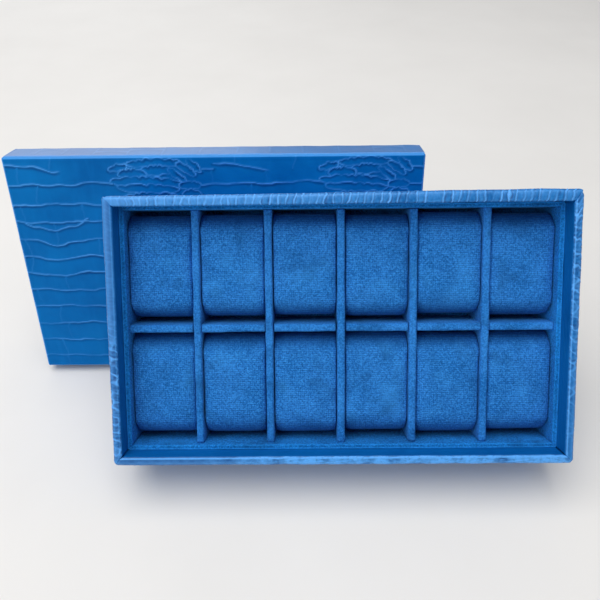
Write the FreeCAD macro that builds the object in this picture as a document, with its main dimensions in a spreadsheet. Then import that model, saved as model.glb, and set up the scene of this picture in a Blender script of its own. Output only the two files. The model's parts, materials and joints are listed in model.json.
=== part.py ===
"""A lift-lid display box for watches, stood up to show its tray.

The tray is a leather-wrapped box with a suede liner, crossed dividers and a pillow in each cell.
It stands on the back edge of its base and leans on the lid, which stands behind it on one edge.
The origin is on the table, under the middle of the whole group. +X is along the box, +Z is up.
Each piece is drawn as it lies in a flat box (+Z out of the open side), then stood up by its Placement.
"""

import FreeCAD
import Part
import Sketcher

import math
import os

# Driving dimensions, in millimetres and degrees
SIZES = [
    ("box_length", 335),
    ("box_width", 195),
    ("tray_depth", 72),
    ("lid_depth", 30.5),
    ("leather", 1.0),
    ("wall_board", 4.3),
    ("base_board", 4.0),
    ("floor_card", 1.5),
    ("turn_in", 12),
    ("turn_in_gap", 0.3),
    ("tuck", 6),
    ("ledge_drop", 15.5),
    ("liner_board", 3.4),
    ("divider", 6.0),
    ("divider_drop", 20.5),
    ("columns", 6),
    ("pillow_length", 78.5),
    ("pillow_height", 43.6),
    ("pillow_side_gap", 0.5),
    ("pillow_floor_gap", 0.3),
    ("pillow_crown", 19),
    ("pillow_heel", 11),
    ("pillow_cover", 1.6),
    ("collar_gap", 0.5),
    ("collar_board", 3.0),
    ("collar_reach", 13),
    ("lid_tuck", 8),
    ("lid_lip", 3.0),
    ("tray_lean", 33.8),
    ("lid_lean", 13.0),
    ("lean_gap", 0.6),
    ("lid_offset", 98.5),
]

# Sizes worked out from the sheet, as expressions that both the pieces and their places use
LENGTH = "Sizes.box_length"
WIDTH = "Sizes.box_width"
SKIN = "Sizes.leather"
WALL_IN = "(Sizes.leather + Sizes.wall_board)"
RIM = "(2 * Sizes.leather + Sizes.wall_board)"
LINER_IN = "(2 * Sizes.leather + Sizes.wall_board + Sizes.liner_board)"
BASE_TOP = "(Sizes.leather + Sizes.base_board)"
FLOOR_TOP = "(Sizes.leather + Sizes.base_board + Sizes.floor_card)"
LEDGE = "(Sizes.tray_depth - Sizes.ledge_drop)"
DIVIDER_TOP = "(Sizes.tray_depth - Sizes.divider_drop)"
DIVIDER_RISE = f"({DIVIDER_TOP} - {FLOOR_TOP})"
WELL_LENGTH = f"({LENGTH} - 2 * {LINER_IN})"
WELL_WIDTH = f"({WIDTH} - 2 * {LINER_IN})"
CELL_LENGTH = f"(({WELL_LENGTH} - (Sizes.columns - 1) * Sizes.divider) / Sizes.columns)"
CELL_WIDTH = f"(({WELL_WIDTH} - Sizes.divider) / 2)"
PITCH = f"({CELL_LENGTH} + Sizes.divider)"
PILLOW_WIDE = f"({CELL_LENGTH} - 2 * Sizes.pillow_side_gap)"
LID_TOP_IN = "(Sizes.lid_depth - Sizes.leather - Sizes.base_board)"
LINING_IN = "(Sizes.lid_depth - Sizes.leather - Sizes.base_board - Sizes.floor_card)"
COLLAR_OUT = f"({RIM} + Sizes.collar_gap)"
COLLAR_IN = f"({RIM} + Sizes.collar_gap + Sizes.collar_board)"

doc = FreeCAD.newDocument("watch_tray")
sizes = doc.addObject("Spreadsheet::Sheet", "Sizes")
for row_number, (alias, amount) in enumerate(SIZES, start=1):
    sizes.set(f"A{row_number}", alias)
    sizes.set(f"B{row_number}", str(amount))
    sizes.setAlias(f"B{row_number}", alias)
doc.recompute()

pieces = []


def number(expression):
    """The value of an expression on the sheet."""
    return float(sizes.evalExpression(expression))


def place(x=0.0, y=0.0, z=0.0, turn=0.0):
    """A place in a flat box, turned about +Z."""
    return FreeCAD.Placement(FreeCAD.Vector(x, y, z), FreeCAD.Rotation(FreeCAD.Vector(0, 0, 1), turn))


def stood_up(lean, x, y):
    """The place of a flat box stood on its base's front edge at (x, y) and leaning back from upright."""
    return FreeCAD.Placement(FreeCAD.Vector(x, y, 0), FreeCAD.Rotation(FreeCAD.Vector(1, 0, 0), 90 - lean))


def stands():
    """Where the tray and the lid stand, with the origin under the middle of the group."""
    width = number(WIDTH)
    tray_lean = math.radians(number("Sizes.tray_lean"))
    lid_lean = math.radians(number("Sizes.lid_lean"))
    reach = number("Sizes.lid_depth") + number("Sizes.lean_gap")
    rise_along_lid = width * math.cos(tray_lean) * math.sin(lid_lean)
    lid_foot = width * math.sin(tray_lean) + (reach - rise_along_lid) / math.cos(lid_lean)
    front = -number("Sizes.tray_depth") * math.cos(tray_lean)
    collar_top = width - number(COLLAR_OUT)
    back = lid_foot + collar_top * math.sin(lid_lean) + number("Sizes.collar_reach") * math.cos(lid_lean)
    offset = number("Sizes.lid_offset")
    middle = (front + back) / 2
    tray = stood_up(number("Sizes.tray_lean"), offset / 2, -middle)
    lid = stood_up(number("Sizes.lid_lean"), -offset / 2, lid_foot - middle)
    return tray, lid


def keep(piece, label, stand, spot):
    """Names a finished piece and stands it in its place."""
    piece.Label = label
    piece.Placement = stand.multiply(spot)
    pieces.append(piece)


def slab(label, stand, length, width, height, corner):
    """A flat board: its three sizes and its lowest corner, all as expressions."""
    board = doc.addObject("Part::Box", label)
    board.setExpression("Length", length)
    board.setExpression("Width", width)
    board.setExpression("Height", height)
    x, y, z = (number(expression) for expression in corner)
    keep(board, label, stand, place(x, y, z))


def origin_plane(body, role):
    """One of a body's own origin planes."""
    return next(item for item in body.Origin.OriginFeatures if item.Role == role)


def pin(sketch, index, end, axis, expression):
    """Holds one end of a line at a distance from the sketch's origin along one axis."""
    other_axis = -1 if axis == "DistanceY" else -2
    if expression == "0":
        sketch.addConstraint(Sketcher.Constraint("PointOnObject", index, end, other_axis))
        return
    made = sketch.addConstraint(Sketcher.Constraint(axis, -1, 1, index, end, number(expression)))
    sketch.setExpression(f"Constraints[{made}]", expression)


def outline(body, name, role, loops):
    """A sketch of closed polygons, each corner a pair of expressions."""
    sketch = body.newObject("Sketcher::SketchObject", name)
    sketch.AttachmentSupport = [(origin_plane(body, role), "")]
    sketch.MapMode = "FlatFace"
    for corners in loops:
        first = sketch.GeometryCount
        ends = [FreeCAD.Vector(number(across), number(up), 0) for across, up in corners]
        for start, end in zip(ends, ends[1:] + ends[:1]):
            sketch.addGeometry(Part.LineSegment(start, end))
        count = len(corners)
        for step, (across, up) in enumerate(corners):
            following = first + (step + 1) % count
            sketch.addConstraint(Sketcher.Constraint("Coincident", first + step, 2, following, 1))
            pin(sketch, first + step, 1, "DistanceX", across)
            pin(sketch, first + step, 1, "DistanceY", up)
    return sketch


def rectangle(left, right, low, high):
    """The corners of a rectangle, as pairs of expressions."""
    return [(left, low), (right, low), (right, high), (left, high)]


def pad(body, name, sketch, length, midplane=False):
    """Gives a sketch its thickness."""
    solid = body.newObject("PartDesign::Pad", name)
    solid.Profile = sketch
    solid.Midplane = midplane
    solid.setExpression("Length", length)
    doc.recompute()
    return solid


def pocket(body, name, sketch, length=None, midplane=False, reverse=False):
    """Cuts a sketch out of a body, and checks that the cut met the solid."""
    before = body.Shape.Volume
    cut = body.newObject("PartDesign::Pocket", name)
    cut.Profile = sketch
    cut.Midplane = midplane
    cut.Reversed = reverse
    if length is None:
        cut.Type = "ThroughAll"
    else:
        cut.setExpression("Length", length)
    doc.recompute()
    if body.Shape.Volume >= before:
        raise RuntimeError(f"{name} cut nothing from {body.Label}")
    return cut


def mitred_strip(label, stand, run, profile, spot):
    """A folded leather strip along one side, its section as given and both ends mitred at 45 degrees."""
    body = doc.addObject("PartDesign::Body", label)
    section = outline(body, f"{label}_section", "YZ_Plane", [profile])
    pad(body, f"{label}_run", section, run, midplane=True)
    deep = "(Sizes.turn_in + 1)"
    left = [(f"-{run} / 2", "0"), (f"-{run} / 2 + {deep}", deep), (f"-{run} / 2", deep)]
    right = [(f"{run} / 2", "0"), (f"{run} / 2", deep), (f"{run} / 2 - {deep}", deep)]
    mitres = outline(body, f"{label}_mitres", "XY_Plane", [left, right])
    pocket(body, f"{label}_mitre_cut", mitres, reverse=True)
    keep(body, label, stand, spot)


def four_strips(prefix, stand, profile):
    """The same leather strip along each of a box's four sides."""
    length = number(LENGTH)
    width = number(WIDTH)
    mitred_strip(f"{prefix}front_leather", stand, LENGTH, profile, place(0, 0, 0, 0))
    mitred_strip(f"{prefix}back_leather", stand, LENGTH, profile, place(0, width, 0, 180))
    mitred_strip(f"{prefix}left_leather", stand, WIDTH, profile, place(-length / 2, width / 2, 0, -90))
    mitred_strip(f"{prefix}right_leather", stand, WIDTH, profile, place(length / 2, width / 2, 0, 90))


def four_boards(names, stand, inset, thickness, low, rise):
    """A frame of four boards: two full-length ones, and two short ones between them."""
    front, back, left, right = names
    long_run = f"({LENGTH} - 2 * {inset})"
    short_run = f"({WIDTH} - 2 * {inset} - 2 * {thickness})"
    start_x = f"-{LENGTH} / 2 + {inset}"
    inner_y = f"{inset} + {thickness}"
    slab(front, stand, long_run, thickness, rise, (start_x, inset, low))
    slab(back, stand, long_run, thickness, rise, (start_x, f"{WIDTH} - {inset} - {thickness}", low))
    slab(left, stand, thickness, short_run, rise, (start_x, inner_y, low))
    slab(right, stand, thickness, short_run, rise, (f"{LENGTH} / 2 - {inset} - {thickness}", inner_y, low))


def panel(label, stand, inset, low, thickness):
    """A flat panel the size of the box, less an inset all round."""
    length = f"({LENGTH} - 2 * {inset})"
    width = f"({WIDTH} - 2 * {inset})"
    slab(label, stand, length, width, thickness, (f"-{LENGTH} / 2 + {inset}", inset, low))


def side_names(prefix, suffix):
    """The names of the four pieces that go round a box."""
    return [f"{prefix}{side}_{suffix}" for side in ("front", "back", "left", "right")]


def tray_shell(stand):
    """The tray's boards, and the leather that wraps their outside, the rim and the top of the inside."""
    top = "Sizes.tray_depth"
    wall_rise = f"({top} - 2 * {SKIN})"
    panel("base_board", stand, WALL_IN, SKIN, "Sizes.base_board")
    four_boards(side_names("", "board"), stand, SKIN, "Sizes.wall_board", SKIN, wall_rise)
    panel("base_cover", stand, "(Sizes.turn_in + Sizes.turn_in_gap)", "0", SKIN)
    tuck_end = f"{LEDGE} - Sizes.tuck"
    under_rim = f"{top} - {SKIN}"
    wrap = [
        ("0", "0"),
        ("Sizes.turn_in", "0"),
        ("Sizes.turn_in", SKIN),
        (SKIN, SKIN),
        (SKIN, under_rim),
        (WALL_IN, under_rim),
        (WALL_IN, tuck_end),
        (RIM, tuck_end),
        (RIM, top),
        ("0", top),
    ]
    four_strips("", stand, wrap)


def tray_liner(stand):
    """The suede-covered card that lines the tray."""
    panel("liner_floor", stand, RIM, BASE_TOP, "Sizes.floor_card")
    rise = f"({LEDGE} - {FLOOR_TOP})"
    four_boards(side_names("liner_", "wall"), stand, RIM, "Sizes.liner_board", FLOOR_TOP, rise)


def row_divider(stand):
    """The long divider, slotted from above for the cross dividers."""
    body = doc.addObject("PartDesign::Body", "row_divider")
    half = f"{WELL_LENGTH} / 2"
    face = outline(body, "row_divider_face", "XZ_Plane", [rectangle(f"-{half}", half, "0", DIVIDER_RISE)])
    pad(body, "row_divider_board", face, "Sizes.divider", midplane=True)
    slot_left = f"-{half} + {CELL_LENGTH}"
    slot_right = f"-{half} + {PITCH}"
    notch = rectangle(slot_left, slot_right, f"{DIVIDER_RISE} / 2", f"{DIVIDER_RISE} + 1")
    slot = outline(body, "row_divider_notch", "XZ_Plane", [notch])
    cut = pocket(body, "row_divider_slot", slot, "2 * Sizes.divider", midplane=True)
    row = body.newObject("PartDesign::LinearPattern", "row_divider_slots")
    row.Originals = [cut]
    row.Direction = (slot, ["H_Axis"])
    slots = int(number("Sizes.columns")) - 1
    row.setExpression("Length", f"{PITCH} * (Sizes.columns - 2)")
    row.Occurrences = slots
    body.Tip = row
    doc.recompute()
    keep(body, "row_divider", stand, place(0, number(WIDTH) / 2, number(FLOOR_TOP)))


def column_divider(label, stand, x):
    """A cross divider, slotted from below so that it laps over the long one."""
    body = doc.addObject("PartDesign::Body", label)
    half = f"{WELL_WIDTH} / 2"
    face = outline(body, f"{label}_face", "YZ_Plane", [rectangle(f"-{half}", half, "0", DIVIDER_RISE)])
    pad(body, f"{label}_board", face, "Sizes.divider", midplane=True)
    notch = rectangle("-Sizes.divider / 2", "Sizes.divider / 2", "-1", f"{DIVIDER_RISE} / 2")
    slot = outline(body, f"{label}_notch", "YZ_Plane", [notch])
    pocket(body, f"{label}_slot", slot, "2 * Sizes.divider", midplane=True)
    keep(body, label, stand, place(x, number(WIDTH) / 2, number(FLOOR_TOP)))


def rounded_outline(body, name, inset, offset):
    """A side view of a pillow: wide round upper corners, tighter lower ones, all drawn in by an inset."""
    half = number(f"Sizes.pillow_length / 2 - {inset}")
    low = number(inset)
    high = number(f"Sizes.pillow_height - {inset}")
    crown = number(f"Sizes.pillow_crown - {inset}")
    heel = number(f"Sizes.pillow_heel - {inset}")
    sketch = body.newObject("Sketcher::SketchObject", name)
    sketch.AttachmentSupport = [(origin_plane(body, "YZ_Plane"), "")]
    sketch.MapMode = "FlatFace"
    sketch.setExpression("AttachmentOffset.Base.z", offset)
    corners = [
        (half - heel, low + heel, heel, -90),
        (half - crown, high - crown, crown, 0),
        (crown - half, high - crown, crown, 90),
        (heel - half, low + heel, heel, 180),
    ]
    arcs = []
    for across, up, radius, start in corners:
        circle = Part.Circle(FreeCAD.Vector(across, up, 0), FreeCAD.Vector(0, 0, 1), radius)
        arc = Part.ArcOfCircle(circle, math.radians(start), math.radians(start + 90))
        arcs.append(sketch.addGeometry(arc))
    lines = []
    for this, following in zip(arcs, arcs[1:] + arcs[:1]):
        start = sketch.Geometry[this].EndPoint
        end = sketch.Geometry[following].StartPoint
        lines.append(sketch.addGeometry(Part.LineSegment(start, end)))
    for this, line, following in zip(arcs, lines, arcs[1:] + arcs[:1]):
        sketch.addConstraint(Sketcher.Constraint("Tangent", this, 2, line, 1))
        sketch.addConstraint(Sketcher.Constraint("Tangent", line, 2, following, 1))
    right, top, left, bottom = lines
    sketch.addConstraint(Sketcher.Constraint("Vertical", right))
    sketch.addConstraint(Sketcher.Constraint("Horizontal", top))
    sketch.addConstraint(Sketcher.Constraint("Vertical", left))
    sketch.addConstraint(Sketcher.Constraint("Horizontal", bottom))
    sketch.addConstraint(Sketcher.Constraint("Equal", arcs[0], arcs[3]))
    sketch.addConstraint(Sketcher.Constraint("Equal", arcs[1], arcs[2]))
    bound = [
        (Sketcher.Constraint("Radius", arcs[0], heel), f"Sizes.pillow_heel - {inset}"),
        (Sketcher.Constraint("Radius", arcs[1], crown), f"Sizes.pillow_crown - {inset}"),
        (Sketcher.Constraint("DistanceX", -1, 1, right, 1, half), f"Sizes.pillow_length / 2 - {inset}"),
        (Sketcher.Constraint("DistanceX", left, 1, -1, 1, half), f"Sizes.pillow_length / 2 - {inset}"),
        (Sketcher.Constraint("DistanceY", -1, 1, top, 1, high), f"Sizes.pillow_height - {inset}"),
    ]
    if inset == "0":
        sketch.addConstraint(Sketcher.Constraint("PointOnObject", bottom, 1, -1))
    else:
        bound.append((Sketcher.Constraint("DistanceY", -1, 1, bottom, 1, low), inset))
    for constraint, expression in bound:
        made = sketch.addConstraint(constraint)
        sketch.setExpression(f"Constraints[{made}]", expression)
    return sketch


def pillow(name, stand, spot):
    """A watch pillow: a closed suede cover, and the foam block inside it."""
    skin = "Sizes.pillow_cover"
    half = f"{PILLOW_WIDE} / 2"
    inside = f"({PILLOW_WIDE} - 2 * {skin})"
    cover = doc.addObject("PartDesign::Body", f"{name}_cover")
    outside = rounded_outline(cover, f"{name}_outside", "0", f"-{half}")
    pad(cover, f"{name}_outer", outside, PILLOW_WIDE)
    hollow = rounded_outline(cover, f"{name}_hollow", skin, f"{skin} - {half}")
    pocket(cover, f"{name}_inner", hollow, inside, reverse=True)
    keep(cover, f"{name}_cover", stand, spot)
    core = doc.addObject("PartDesign::Body", f"{name}_core")
    filling = rounded_outline(core, f"{name}_filling", skin, f"{skin} - {half}")
    pad(core, f"{name}_foam", filling, inside)
    keep(core, f"{name}_core", stand, spot)


def dividers_and_pillows(stand):
    """The crossed dividers and the pillow in each cell."""
    row_divider(stand)
    pitch = number(PITCH)
    columns = int(number("Sizes.columns"))
    first_cell = -pitch * (columns - 1) / 2
    for column in range(columns - 1):
        column_divider(f"column_divider_{column + 1}", stand, first_cell + pitch * (column + 0.5))
    from_middle = (number(CELL_WIDTH) + number("Sizes.divider")) / 2
    floor = number(FLOOR_TOP) + number("Sizes.pillow_floor_gap")
    for row, side in (("front", -1), ("back", 1)):
        middle = number(WIDTH) / 2 + side * from_middle
        for column in range(columns):
            spot = place(first_cell + pitch * column, middle, floor)
            pillow(f"{row}_pillow_{column + 1}", stand, spot)


def lid_top_leather(stand):
    """The lid's leather panel, its edge folded down over the top of the four sides."""
    body = doc.addObject("PartDesign::Body", "lid_top_leather")
    rise = f"({SKIN} + Sizes.lid_lip)"
    half_length = f"{LENGTH} / 2"
    half_width = f"{WIDTH} / 2"
    whole = rectangle(f"-{half_length}", half_length, f"-{half_width}", half_width)
    sheet = outline(body, "lid_top_leather_sheet", "XY_Plane", [whole])
    pad(body, "lid_top_leather_panel", sheet, rise)
    in_length = f"({half_length} - {SKIN})"
    in_width = f"({half_width} - {SKIN})"
    under = rectangle(f"-{in_length}", in_length, f"-{in_width}", in_width)
    inside = outline(body, "lid_top_leather_inside", "XY_Plane", [under])
    pocket(body, "lid_top_leather_fold", inside, "Sizes.lid_lip", reverse=True)
    height = number("Sizes.lid_depth") - number(rise)
    keep(body, "lid_top_leather", stand, place(0, number(WIDTH) / 2, height))


def lid(stand):
    """The lift-off lid: wrapped boards, a suede lining, and a collar that drops inside the tray's rim."""
    seam = f"(Sizes.lid_depth - {SKIN} - Sizes.lid_lip)"
    panel("lid_top_board", stand, SKIN, LID_TOP_IN, "Sizes.base_board")
    wall_rise = f"({LID_TOP_IN} - {SKIN})"
    four_boards(side_names("lid_", "board"), stand, SKIN, "Sizes.wall_board", SKIN, wall_rise)
    lid_top_leather(stand)
    wrap = [
        ("0", "0"),
        (RIM, "0"),
        (RIM, "Sizes.lid_tuck"),
        (WALL_IN, "Sizes.lid_tuck"),
        (WALL_IN, SKIN),
        (SKIN, SKIN),
        (SKIN, seam),
        ("0", seam),
    ]
    four_strips("lid_", stand, wrap)
    panel("lid_lining", stand, WALL_IN, LINING_IN, "Sizes.floor_card")
    collar_rise = f"({LINING_IN} + Sizes.collar_reach)"
    names = side_names("lid_collar_", "board")
    four_boards(names, stand, COLLAR_OUT, "Sizes.collar_board", "-Sizes.collar_reach", collar_rise)


def check():
    """Stops the script if any object failed or any piece isn't a sound solid."""
    doc.recompute()
    for item in doc.Objects:
        if "Invalid" in item.State or "Error" in item.State:
            raise RuntimeError(f"{item.Label} failed: {item.State}")
    for piece in pieces:
        if piece.Shape.isNull() or not piece.Shape.isValid() or len(piece.Shape.Solids) != 1:
            raise RuntimeError(f"{piece.Label} isn't one valid solid")


def export():
    """Writes each piece to its own STEP file."""
    os.makedirs("parts", exist_ok=True)
    for piece in pieces:
        piece.Shape.exportStep(f"parts/{piece.Label}.step")
        print(f"{piece.Label:28s} {piece.Shape.Volume / 1000:9.2f} cm3")
    print(len(pieces), "pieces")


tray_stand, lid_stand = stands()
tray_shell(tray_stand)
tray_liner(tray_stand)
dividers_and_pillows(tray_stand)
lid(lid_stand)
check()
export()
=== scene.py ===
"""How the watch display tray and its lid look: embossed leather, suede, and twelve stuffed pillows.

Every piece is drawn in a flat box's own directions (X along the box, Y across it, Z out of its open
side, in millimetres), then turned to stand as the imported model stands, and scaled to metres.
"""

import json
import math

import bmesh
import bpy
import numpy as np
from mathutils import Matrix, Quaternion, Vector


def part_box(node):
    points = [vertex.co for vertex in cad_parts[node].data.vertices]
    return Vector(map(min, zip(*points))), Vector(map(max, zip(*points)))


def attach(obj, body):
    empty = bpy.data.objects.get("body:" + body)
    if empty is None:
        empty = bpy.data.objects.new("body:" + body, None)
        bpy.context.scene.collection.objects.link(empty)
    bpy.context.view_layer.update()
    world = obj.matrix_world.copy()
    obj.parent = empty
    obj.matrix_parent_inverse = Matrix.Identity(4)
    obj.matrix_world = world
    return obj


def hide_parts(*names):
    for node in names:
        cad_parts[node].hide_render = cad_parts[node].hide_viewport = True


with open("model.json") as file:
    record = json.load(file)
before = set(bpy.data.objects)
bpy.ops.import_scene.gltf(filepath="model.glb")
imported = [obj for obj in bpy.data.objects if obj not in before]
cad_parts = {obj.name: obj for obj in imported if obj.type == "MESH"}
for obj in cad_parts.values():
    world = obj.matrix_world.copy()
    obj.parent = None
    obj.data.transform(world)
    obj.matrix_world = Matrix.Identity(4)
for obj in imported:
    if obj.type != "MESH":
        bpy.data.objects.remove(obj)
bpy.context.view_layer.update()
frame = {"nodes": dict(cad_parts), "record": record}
nodes = frame["nodes"]

MM = 0.001
SIDES = ("front", "back", "left", "right")
COLUMNS = 6

# Sizes in millimetres
LEATHER = 1.0
BASE_RADIUS = 0.9
RIM_OUTER_RADIUS = 3.2
RIM_INNER_RADIUS = 2.0
RIM_STEP = 0.5
RIM_COLUMNS = 560
SOFT_CORNER = 3.2
SHARP_CORNER = 1.2
TRAY_TUCK = 6
LID_TUCK = 8
PANEL_RADIUS = 1.9
PANEL_STEP = 0.88
CREASE_STEP = 0.4
DIVIDER_ROUND = 1.9
BOARD_EASE = 2.0
BOARD_GAP = 0.35
SEAM_INSET = 2.4
PILLOW_SWELL = 4.5
PILLOW_PRESS = np.array([1.6, 0.8, 0.6])
PILLOW_SLACK = np.array([0.02, 0.1, 0.1])
LOWER_END_GAP = {"front": 1.0, "back": 1.5}
PILLOW_VOXEL = 3
FOAM_SHARE = 0.985
WALL_SCALE = (13, 17)
LID_SIDE_SCALE = (26, 40)

# The hide's pattern repeats along the lid. A patch's small scales, front ones first, each given by its
# left end, its right end, its heights above and below the line between them, and its number of bumps.
PLATE = 167.5
PATCH_SCALES = [
    ((92, 161), (137, 162), 3.2, 4, 6),
    ((89, 170.5), (139, 168.5), 2.0, 5, 5),
    ((141, 164), (156, 163.5), 3.5, 3.5, 1),
    ((139, 170.5), (156.5, 171.5), 2.8, 3.2, 2),
    ((84, 174.8), (142, 171.5), 4.6, 4, 8),
    ((131, 184.5), (145, 173.5), 2.5, 2, 2),
    ((91, 180), (113.5, 180), 4.4, 3, 4),
    ((109, 182), (134, 183), 4.6, 3, 5),
    ((138, 189), (152.5, 179), 2.8, 2.5, 2),
    ((84, 184), (99, 187.5), 2.5, 2.5, 1),
    ((99, 188.5), (142, 189.5), 3.4, 3, 6),
    ((146, 192), (157, 182), 2.5, 2.5, 1),
]

# The slices of a lattice that make a box's faces
BOX_SIDES = [np.s_[0], np.s_[-1], np.s_[:, 0], np.s_[:, -1]]
BOX_BOTTOM = np.s_[:, :, 0]
BOX_TOP = np.s_[:, :, -1]

# Colours and shader settings
DYE_DARK = (0.0, 0.123, 0.415)
DYE_LIGHT = (0.001, 0.173, 0.52)
DYE_STREAK = (0.004, 0.21, 0.62)
# The next two colours: painted shade in valleys, folds and recesses, and painted highlight on ridges, crests
# and rounded edges; both also tint the fine random flecks
PAINTED_SHADE_AND_FLECK = (0.0, 0.055, 0.23)
PAINTED_HIGHLIGHT_AND_FLECK = (0.10, 0.42, 0.98)
RIB_WAVER = 5.0
SUEDE_SHINE = {
    "Roughness": 0.95,
    "Specular IOR Level": 0.1,
    "Sheen Weight": 0.2,
    "Sheen Roughness": 0.4,
    "Sheen Tint": (0.15, 0.55, 1.0, 1),
}

# The cloth that swells the pillows
CLOTH_FRAMES = 16
CLOTH_PRESSURE = 3.2
CLOTH = {
    "use_pressure": True,
    "tension_stiffness": 12,
    "compression_stiffness": 12,
    "shear_stiffness": 6,
    "bending_stiffness": 2.5,
    "quality": 5,
}

# The camera: its place from the foot of the tray's front, in metres, and its pitch, yaw and roll in degrees
CAMERA_FROM_FOOT = (-0.0269, -0.3288, 0.4246)
CAMERA_ANGLES = (-40.2, -0.58, 0.82)
CAMERA_LENS = 37.3

# Broad and soft overhead, smaller and low behind on the left, and a weak fill from the front, in metres
LIGHTS = {
    "ceiling": dict(place=(-0.45, -0.2, 2.3), target=(0, -0.1, 0), size=2.6, power=50,
                    colour=(1.0, 0.99, 0.98)),
    "window": dict(place=(-0.7, 1.9, 0.72), target=(0, 0, 0.18), size=1.2, power=5.0,
                   colour=(0.95, 0.97, 1.0)),
    "fill": dict(place=(-1.3, -1.9, 1.2), target=(0, 0, 0.1), size=1.4, power=11,
                 colour=(1.0, 0.985, 0.965)),
}
ROOM_COLOUR = (0.97, 0.97, 1.0, 1)
ROOM_STRENGTH = 0.36
FLOOR_SIZE = 6


# Frames: the tray's and the lid's own directions


def turn_of(node):
    """The turn that stands a flat box up as this panel stands: its outward face leans up and forward."""
    mesh = nodes[node].data
    normal = max(mesh.polygons, key=lambda face: face.area).normal
    lean = math.atan2(abs(normal.z), abs(normal.y))
    return np.array(Matrix.Rotation(math.radians(90) - lean, 3, "X"))


def mesh_points(mesh):
    """A mesh's points, one row each."""
    points = np.empty(len(mesh.vertices) * 3, np.float32)
    mesh.vertices.foreach_get("co", points)
    return points.reshape(-1, 3).astype(float)


def points_of(node):
    """A node's points in metres, one row each."""
    return mesh_points(nodes[node].data)


def flat_box(node, turn):
    """The lowest and highest corners of a node in its flat box's directions, in millimetres."""
    flat = points_of(node) @ turn / MM
    return flat.min(0), flat.max(0)


def union_box(names, turn):
    """The flat box round several nodes."""
    boxes = [flat_box(name, turn) for name in names]
    return np.min([low for low, _ in boxes], 0), np.max([high for _, high in boxes], 0)


TRAY_TURN = turn_of("base_cover")
LID_TURN = turn_of("lid_lining")
TRAY = dict(turn=TRAY_TURN, body="tray")
LID = dict(turn=LID_TURN, body="lid")


# Lines and fields


def ripple(points, wavelength, seed, waves=12):
    """A smooth random field over points, from about -1 to 1, with features of about one wavelength."""
    draw = np.random.default_rng(seed)
    total = np.zeros(len(points))
    for _ in range(waves):
        direction = draw.normal(size=points.shape[1])
        direction *= 2 * math.pi / (wavelength * draw.uniform(0.7, 1.5)) / np.linalg.norm(direction)
        total += np.sin(points @ direction + draw.uniform(0, 2 * math.pi))
    return total / math.sqrt(waves / 2) / 1.6


def smoothstep(low, high, value):
    """0 below low, 1 above high, and a smooth rise between."""
    share = np.clip((np.asarray(value, float) - low) / (high - low), 0, 1)
    return share * share * (3 - 2 * share)


def spaced(low, high, step):
    """Even positions from low to high, no further apart than the step."""
    return np.linspace(low, high, max(2, int(math.ceil((high - low) / step)) + 1))


def vein(gap):
    """How much of a thin raised vein there is between two scales."""
    return np.exp(-((gap / 0.62) ** 2))


def hollow(gap, width=1.5):
    """How much of the shallow valley there is round a scale."""
    return np.exp(-((gap / width) ** 2))


# Pieces


def set_all(thing, **settings):
    """Gives a thing's properties these values."""
    for setting, value in settings.items():
        setattr(thing, setting, value)


def new_object(name, data):
    """An object in the scene, with its data."""
    made = bpy.data.objects.new(name, data)
    bpy.context.scene.collection.objects.link(made)
    return made


def make_piece(name, node, mesh, body, material, slot):
    """A smooth piece round a finished mesh, riding on its body and standing for its CAD node."""
    mesh.polygons.foreach_set("use_smooth", [True] * len(mesh.polygons))
    mesh.materials.clear()
    mesh.materials.append(material)
    piece = new_object(name, mesh)
    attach(piece, body)
    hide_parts(node)
    return piece


def add_marks(mesh, marks):
    """Stores named values for each point, which the materials read: its vein, painted highlight with some
    wear and tone; its hollow, painted shade with some tone; or its speckle.
    """
    for mark, values in marks.items():
        layer = mesh.attributes.new(mark, "FLOAT", "POINT")
        layer.data.foreach_set("value", np.asarray(values, np.float32))


def make_mesh(name, node, points, faces, turn, marks=None, **cover):
    """A piece from flat-box points and faces, stood up as the model stands."""
    mesh = bpy.data.meshes.new(name)
    stood = (points @ turn.T) * MM
    mesh.from_pydata(stood.tolist(), [], [list(map(int, face)) for face in faces])
    add_marks(mesh, marks or {})
    tidy = bmesh.new()
    tidy.from_mesh(mesh)
    bmesh.ops.remove_doubles(tidy, verts=tidy.verts, dist=1e-7)
    bmesh.ops.recalc_face_normals(tidy, faces=tidy.faces)
    tidy.to_mesh(mesh)
    tidy.free()
    return make_piece(name, node, mesh, **cover)


# Boxes


def edge_lines(half, radius, step):
    """Positions across a rounded box: close together where its edges curve, then even."""
    bend = half - radius * (1 - np.tan(np.linspace(0, math.pi / 4, 5)))
    flat = spaced(-(half - radius), half - radius, step)
    return np.concatenate([-bend[:0:-1], flat, bend[1:]])


def box_skin(lines, sheets):
    """The outer points of a lattice, and the quads and the numbers of its points on each of its sheets."""
    numbers = -np.ones([len(line) for line in lines], int)
    skin = np.zeros(numbers.shape, bool)
    for sheet in sheets:
        skin[sheet] = True
    numbers[skin] = np.arange(skin.sum())
    square = np.stack([line[at] for line, at in zip(lines, np.nonzero(skin))], 1)
    faces = []
    for sheet in sheets:
        part = numbers[sheet]
        quads = np.stack([part[:-1, :-1], part[1:, :-1], part[1:, 1:], part[:-1, 1:]], -1)
        faces.append(quads.reshape(-1, 4))
    return square, np.concatenate(faces), numbers


def rounded(square, core, radius):
    """Points at a radius out from a core, towards a square skin, and their outward directions."""
    away = square - core
    away /= np.linalg.norm(away, axis=1)[:, None]
    return core + away * radius, away


def rounded_box(low, high, radius, step):
    """A closed box of even quads with rounded edges: points, their outward directions and the quads."""
    middle = (low + high) / 2
    half = (high - low) / 2
    radius = min(radius, half.min() * 0.98)
    steps = np.broadcast_to(step, 3)
    lines = [edge_lines(half[axis], radius, steps[axis]) for axis in range(3)]
    square, faces, _ = box_skin(lines, [*BOX_SIDES, BOX_BOTTOM, BOX_TOP])
    core = np.clip(square, -(half - radius), half - radius)
    points, away = rounded(square, core, radius)
    return middle + points, away, faces


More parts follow.
